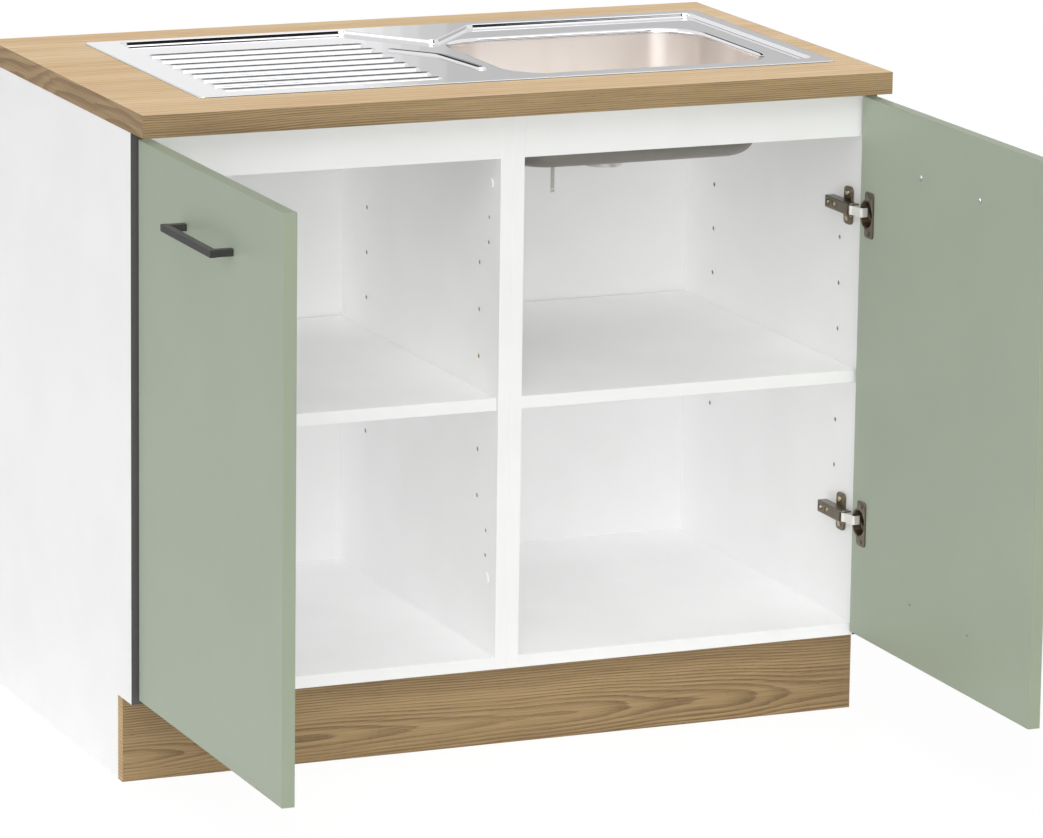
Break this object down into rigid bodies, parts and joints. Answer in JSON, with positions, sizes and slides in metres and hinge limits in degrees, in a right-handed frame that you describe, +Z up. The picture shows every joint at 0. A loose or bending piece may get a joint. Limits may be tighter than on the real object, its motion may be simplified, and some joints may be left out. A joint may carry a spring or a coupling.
{
  "type": "kitchen sink unit",
  "caption": "Kitchen sink base unit: two open-fronted compartments behind swing doors, wood-decor worktop with an inset steel sink, drainer on the left, plinth below.",
  "frame": {"origin": "on the floor, half way along the plinth and in the middle of its thickness", "axes": "+X to the right seen from the front, +Y to the back, towards the wall, +Z up"},
  "size_m": [1.0452, 1.0613, 0.852],
  "materials": {
    "worktop_oak": "light oak decor laminate, satin",
    "plinth_oak": "brown oak decor laminate, satin",
    "white_board": "white melamine, satin",
    "back_board": "white painted hardboard",
    "green_board": "sage green melamine, satin",
    "dark_edge": "dark grey edge band",
    "anthracite": "satin anthracite",
    "sink_steel": "polished rim, satin bowl",
    "hinge_nickel": "bronze-tinted nickel plate",
    "bright_steel": "bright nickel plate",
    "zinc": "zinc plate",
    "black_rubber": "black sealing rubber",
    "white_plastic": "white moulded"
  },
  "bodies": {
    "cabinet": {"connector_bolt_lower": "zinc", "connector_bolt_upper": "zinc", "earth_tag": "bright_steel", "front_clip_1": "zinc", "front_clip_2": "zinc", "left_back": "back_board", "left_bottom": "white_board", "left_clip": "zinc", "left_edge_band": "dark_edge", "left_front_rail": "white_board", "left_inner_side": "white_board", "left_lower_hinge_arm": "hinge_nickel", "left_outer_side": "white_board", "left_rear_rail": "white_board", "left_shelf": "white_board", "left_shelf_pin_inner_front": "zinc", "left_shelf_pin_inner_rear": "zinc", "left_shelf_pin_outer_front": "zinc", "left_shelf_pin_outer_rear": "zinc", "left_upper_hinge_arm": "hinge_nickel", "plinth": "plinth_oak", "right_back": "back_board", "right_bottom": "white_board", "right_clip": "zinc", "right_edge_band": "dark_edge", "right_front_rail": "white_board", "right_inner_side": "white_board", "right_lower_hinge_arm": "hinge_nickel", "right_outer_side": "white_board", "right_rear_rail": "white_board", "right_shelf": "white_board", "right_shelf_pin_inner_front": "zinc", "right_shelf_pin_inner_rear": "zinc", "right_shelf_pin_outer_front": "zinc", "right_shelf_pin_outer_rear": "zinc", "right_upper_hinge_arm": "hinge_nickel", "sink": "sink_steel", "sink_seal": "black_rubber", "waste_flange": "sink_steel", "waste_nut": "white_plastic", "waste_seal": "black_rubber", "worktop": "worktop_oak"},
    "left_door": {"left_door": "green_board", "left_handle": "anthracite", "left_handle_screw_free_side": "zinc", "left_handle_screw_hinge_side": "zinc", "left_lower_hinge_cup": "hinge_nickel", "left_upper_hinge_cup": "hinge_nickel"},
    "right_door": {"right_door": "green_board", "right_handle": "anthracite", "right_handle_screw_free_side": "zinc", "right_handle_screw_hinge_side": "zinc", "right_lower_hinge_cup": "hinge_nickel", "right_upper_hinge_cup": "hinge_nickel"},
    "left_hinge_links": {"left_lower_hinge_link": "bright_steel", "left_upper_hinge_link": "bright_steel"},
    "right_hinge_links": {"right_lower_hinge_link": "bright_steel", "right_upper_hinge_link": "bright_steel"},
    "plug": {"plug": "sink_steel"}
  },
  "joints": [
    {"name": "left_door_hinge", "type": "hinge", "parent": "cabinet", "child": "left_door", "pos_m": [-0.4897, -0.0591, 0.465], "axis": [0, 0, -1], "range_deg": [-90, 5]},
    {"name": "right_door_hinge", "type": "hinge", "parent": "cabinet", "child": "right_door", "pos_m": [0.4897, -0.0591, 0.465], "axis": [0, 0, 1], "range_deg": [-90, 5]},
    {"name": "left_link_swing", "type": "hinge", "parent": "cabinet", "child": "left_hinge_links", "pos_m": [-0.4705, -0.0365, 0.465], "axis": [0, 0, 1], "range_deg": [-27.5, 2]},
    {"name": "right_link_swing", "type": "hinge", "parent": "cabinet", "child": "right_hinge_links", "pos_m": [0.4705, -0.0365, 0.465], "axis": [0, 0, -1], "range_deg": [-27.5, 2]},
    {"name": "plug_lift", "type": "slide", "parent": "cabinet", "child": "plug", "axis": [0, 0, 1], "range_m": [0, 0.05]}
  ],
  "couplings": [
    {"joint": "left_link_swing", "follows": "left_door_hinge", "ratio": 0.3003},
    {"joint": "right_link_swing", "follows": "right_door_hinge", "ratio": 0.3003}
  ]
}
